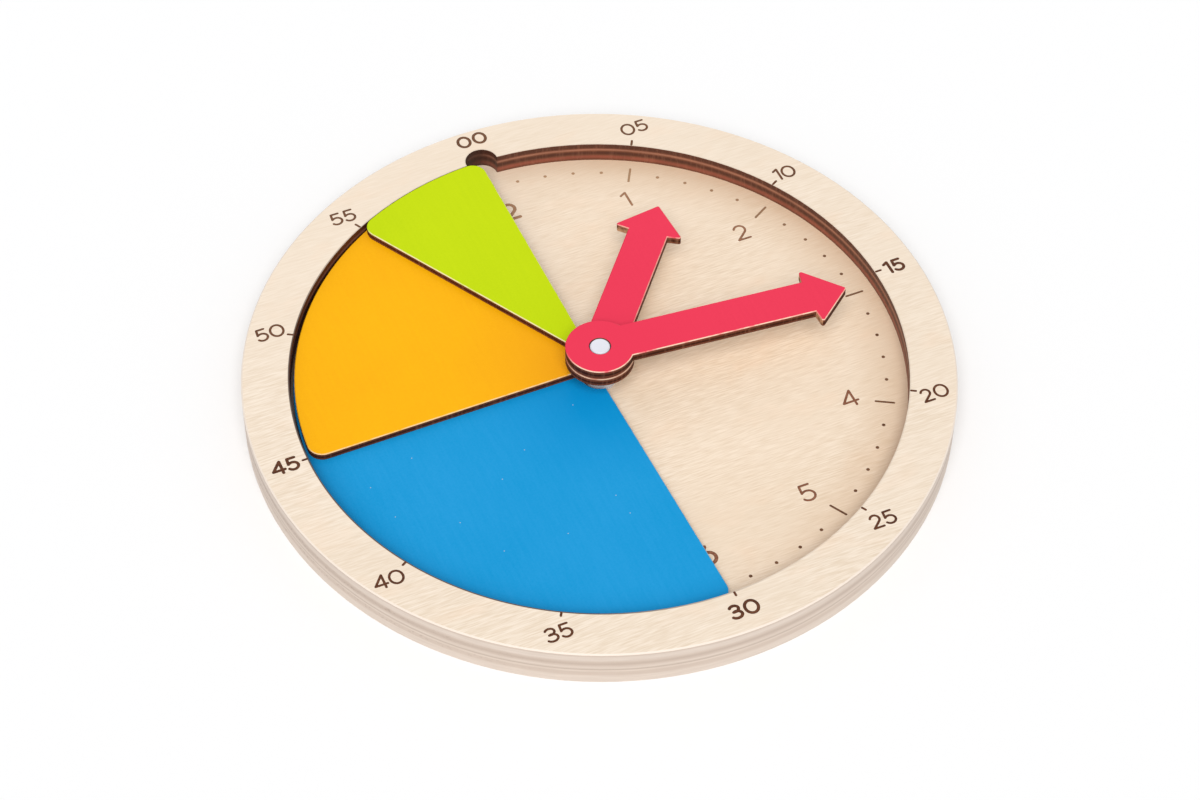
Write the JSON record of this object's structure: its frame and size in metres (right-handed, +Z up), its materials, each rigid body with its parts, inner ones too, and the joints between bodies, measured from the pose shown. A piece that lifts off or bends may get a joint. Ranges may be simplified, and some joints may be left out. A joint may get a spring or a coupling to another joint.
{
  "type": "geared teaching clock",
  "caption": "Round wooden teaching clock lying flat: raised minute ring, recessed dial, two geared arrow hands and stacked half, quarter and five-minute sector plates.",
  "frame": {"origin": "centre of the flat underside, on the axis of the hands", "axes": "+Z up out of the dial, +Y towards the 00 minute mark, +X towards the 15 minute mark"},
  "size_m": [0.3, 0.3, 0.0294],
  "materials": {
    "birch_plywood": "clear matt varnish, laser-cut edges",
    "blue_lacquer": "satin colour film on plywood, laser-cut edges",
    "yellow_lacquer": "satin colour film on plywood, laser-cut edges",
    "green_lacquer": "satin colour film on plywood, laser-cut edges",
    "red_lacquer": "satin colour film on plywood, laser-cut edges",
    "white_plastic": "satin moulded",
    "gear_plastic": "natural acetal",
    "cover_plastic": "fine texture",
    "zinc_steel": "zinc plated",
    "turned_steel": "turned"
  },
  "bodies": {
    "board": {"base_board": "birch_plywood", "minute_ring": "birch_plywood", "gear_cover": "cover_plastic", "cover_screws": "zinc_steel", "centre_bush": "white_plastic", "bush_nut": "zinc_steel", "intermediate_stud": "turned_steel"},
    "blue_half": {"blue_half_plate": "blue_lacquer"},
    "yellow_quarter": {"yellow_quarter_plate": "yellow_lacquer"},
    "green_five_minute": {"green_five_minute_plate": "green_lacquer"},
    "minute": {"minute_hand": "red_lacquer", "minute_arbor": "turned_steel", "minute_pinion": "gear_plastic", "arbor_cap": "white_plastic"},
    "intermediate": {"intermediate_wheel": "gear_plastic", "intermediate_pinion": "gear_plastic"},
    "hour": {"hour_hand": "red_lacquer", "hour_tube": "gear_plastic", "hour_wheel": "gear_plastic", "hour_washer": "turned_steel", "hand_washer": "white_plastic"}
  },
  "joints": [
    {"name": "minute_turn", "type": "hinge", "parent": "board", "child": "minute", "pos_m": [0, 0, 0.0272], "axis": [0, 0, -1], "continuous": true},
    {"name": "intermediate_turn", "type": "hinge", "parent": "board", "child": "intermediate", "pos_m": [0, -0.02, 0.0033], "axis": [0, 0, -1], "continuous": true},
    {"name": "hour_turn", "type": "hinge", "parent": "board", "child": "hour", "pos_m": [0, 0, 0.0225], "axis": [0, 0, -1], "continuous": true},
    {"name": "blue_swivel", "type": "hinge", "parent": "board", "child": "blue_half", "pos_m": [0, 0, 0.0099], "axis": [0, 0, 1], "continuous": true},
    {"name": "yellow_swivel", "type": "hinge", "parent": "blue_half", "child": "yellow_quarter", "pos_m": [0, 0, 0.0133], "axis": [0, 0, 1], "range_deg": [0, 90]},
    {"name": "green_swivel", "type": "hinge", "parent": "yellow_quarter", "child": "green_five_minute", "pos_m": [0, 0, 0.0167], "axis": [0, 0, 1], "range_deg": [0, 60]}
  ],
  "couplings": [
    {"joint": "intermediate_turn", "follows": "minute_turn", "ratio": -0.33333},
    {"joint": "hour_turn", "follows": "minute_turn", "ratio": 0.083333}
  ]
}
